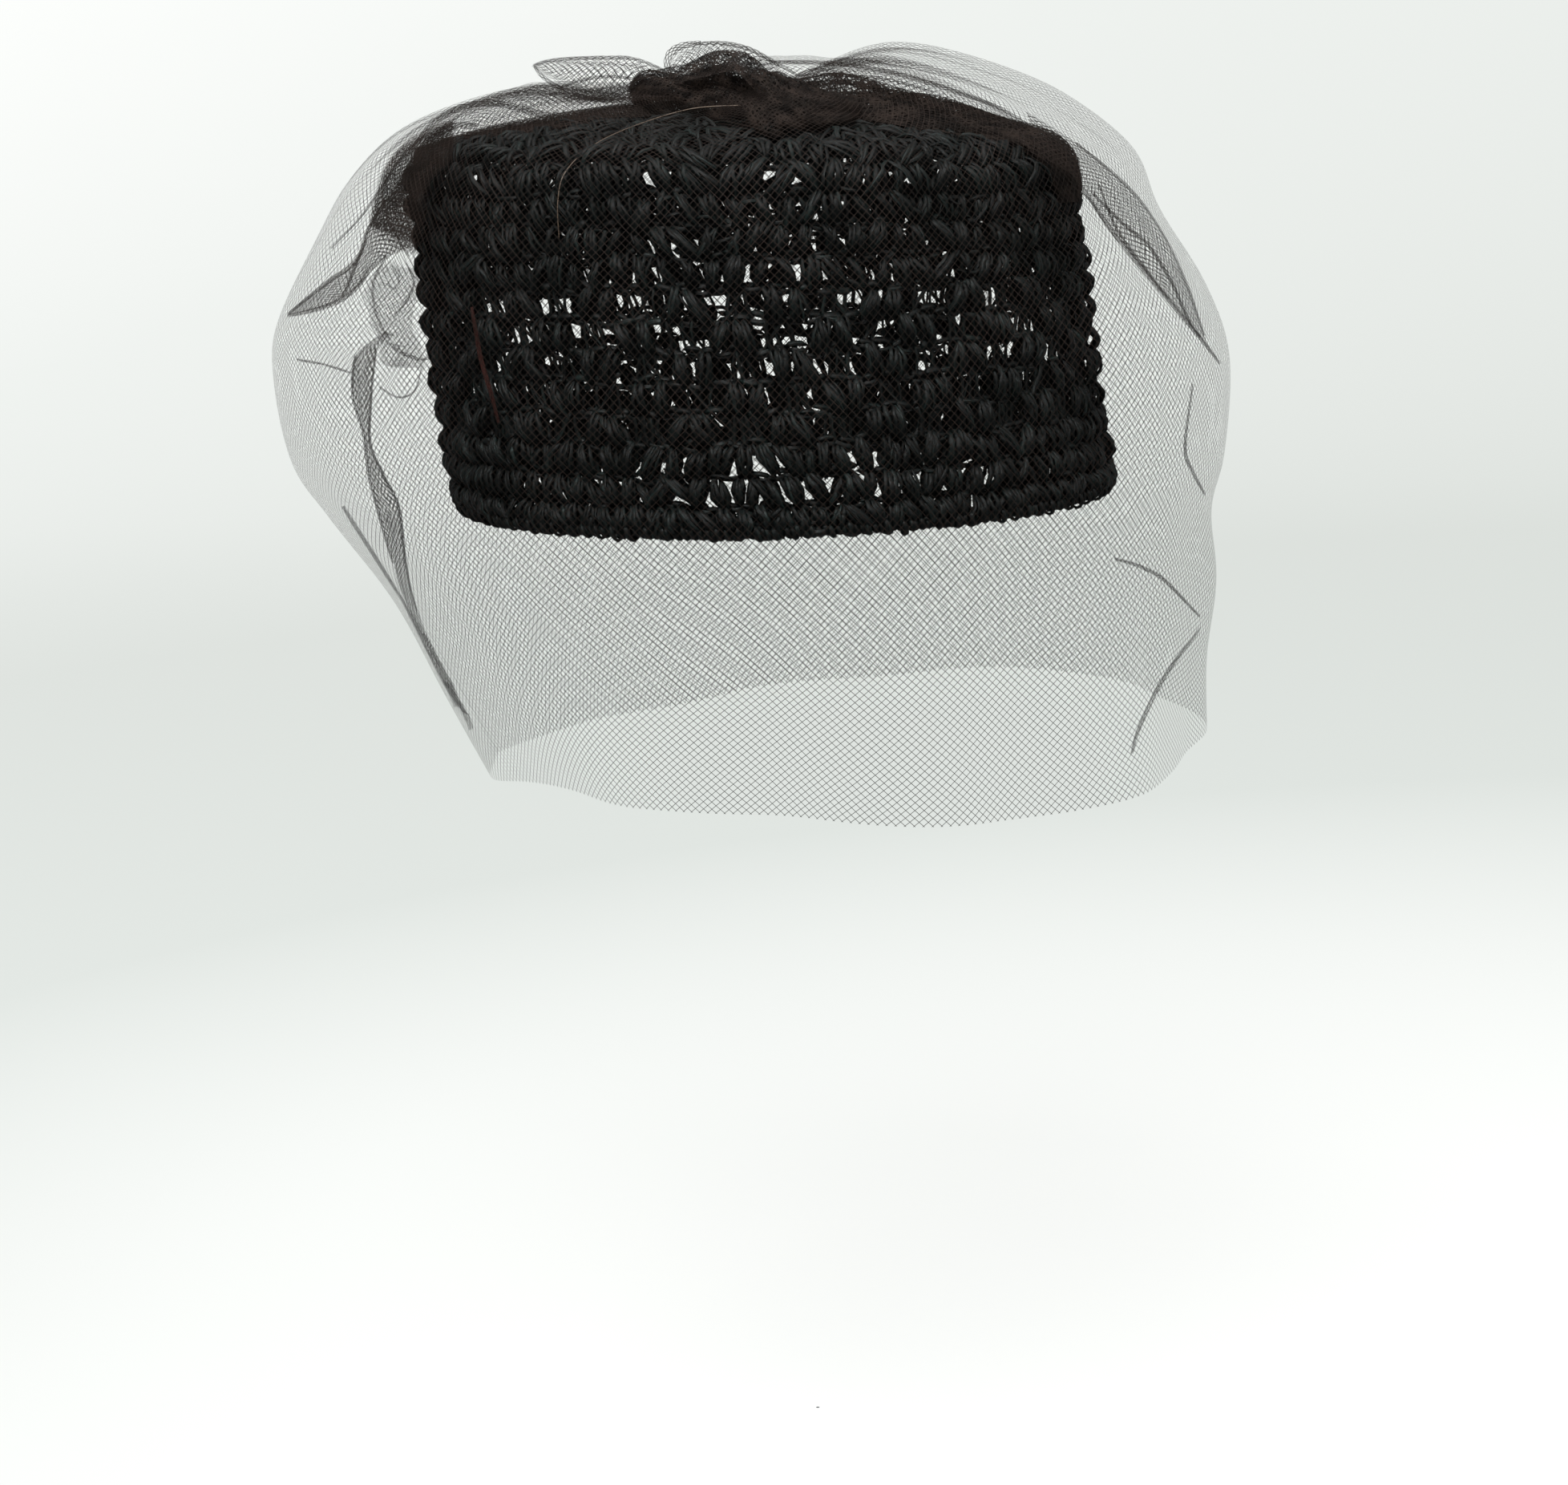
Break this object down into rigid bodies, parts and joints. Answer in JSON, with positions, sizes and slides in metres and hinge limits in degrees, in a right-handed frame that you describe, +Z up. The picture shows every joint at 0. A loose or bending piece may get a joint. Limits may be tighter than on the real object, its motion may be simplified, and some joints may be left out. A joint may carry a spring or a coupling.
{
  "type": "pillbox hat with a net veil",
  "caption": "Tall round pillbox hat of openwork raffia with a domed tip, under a ballooning net veil gathered into a knot on top.",
  "frame": {"origin": "middle of the rim, where the hat sits on the head", "axes": "+Z up out of the crown, -Y to the wearer's front, +X to the wearer's left"},
  "size_m": [0.2313, 0.2422, 0.1904],
  "materials": {
    "raffia": "satin black raffia straw",
    "net": "matt dark brown net"
  },
  "bodies": {
    "root": {"side_band": "raffia", "rim_edge": "raffia", "tip": "raffia", "veil": "net", "veil_knot": "net", "gather_front": "net", "gather_back": "net", "net_loop_back": "net", "net_loop_top": "net"}
  },
  "joints": []
}
